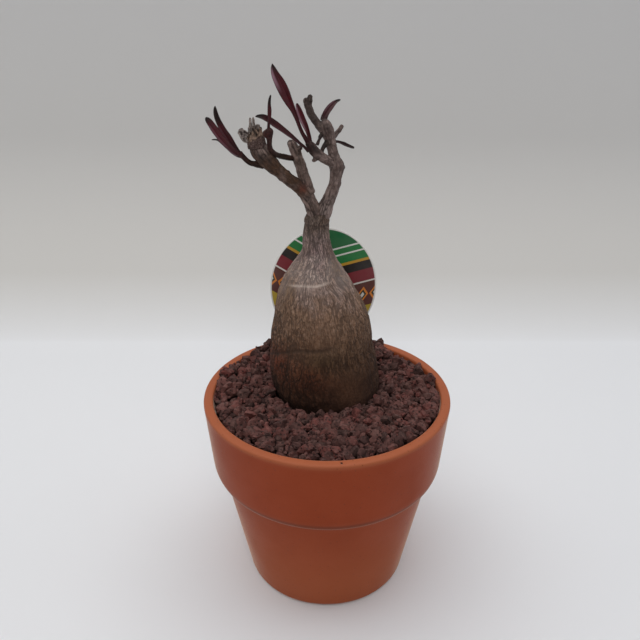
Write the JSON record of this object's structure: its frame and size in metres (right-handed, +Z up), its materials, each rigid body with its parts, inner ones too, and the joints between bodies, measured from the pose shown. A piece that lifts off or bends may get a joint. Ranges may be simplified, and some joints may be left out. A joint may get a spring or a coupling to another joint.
{
  "type": "potted petopentia",
  "caption": "Potted caudiciform petopentia: a bottle-shaped woody caudex with young dark-red leaves in a terracotta pot of lava grit, with an oval label behind it.",
  "frame": {"origin": "centre of the pot's underside", "axes": "+Z up along the pot's axis, -Y towards the front, with the label behind the caudex at +Y"},
  "size_m": [0.12, 0.12, 0.2538],
  "materials": {
    "terracotta": "smooth unglazed terracotta, matte",
    "potting_mix": "dark loose mix",
    "lava": "rough porous lava grit",
    "bark": "finely fissured bark, matte",
    "stem_bark": "woody stem bark",
    "dry_tissue": "torn dry tissue",
    "young_shoot": "soft dark-red shoot",
    "leaf": "satin leaf",
    "label_plastic": "printed plastic sheet"
  },
  "bodies": {
    "root": {"pot": "terracotta", "potting_mix": "potting_mix", "lava_grit": "lava", "caudex": "bark", "stem_left": "stem_bark", "stem_right": "stem_bark", "dried_stub_end": "dry_tissue", "shoot_left": "young_shoot", "shoot_centre": "young_shoot", "leaf_left_long": "leaf", "leaf_left_round": "leaf", "leaf_left_curled": "leaf", "leaf_centre": "leaf", "leaf_arching": "leaf", "leaf_tall": "leaf", "leaf_short": "leaf", "leaf_upper": "leaf", "leaf_right_narrow": "leaf", "label": "label_plastic"}
  },
  "joints": []
}
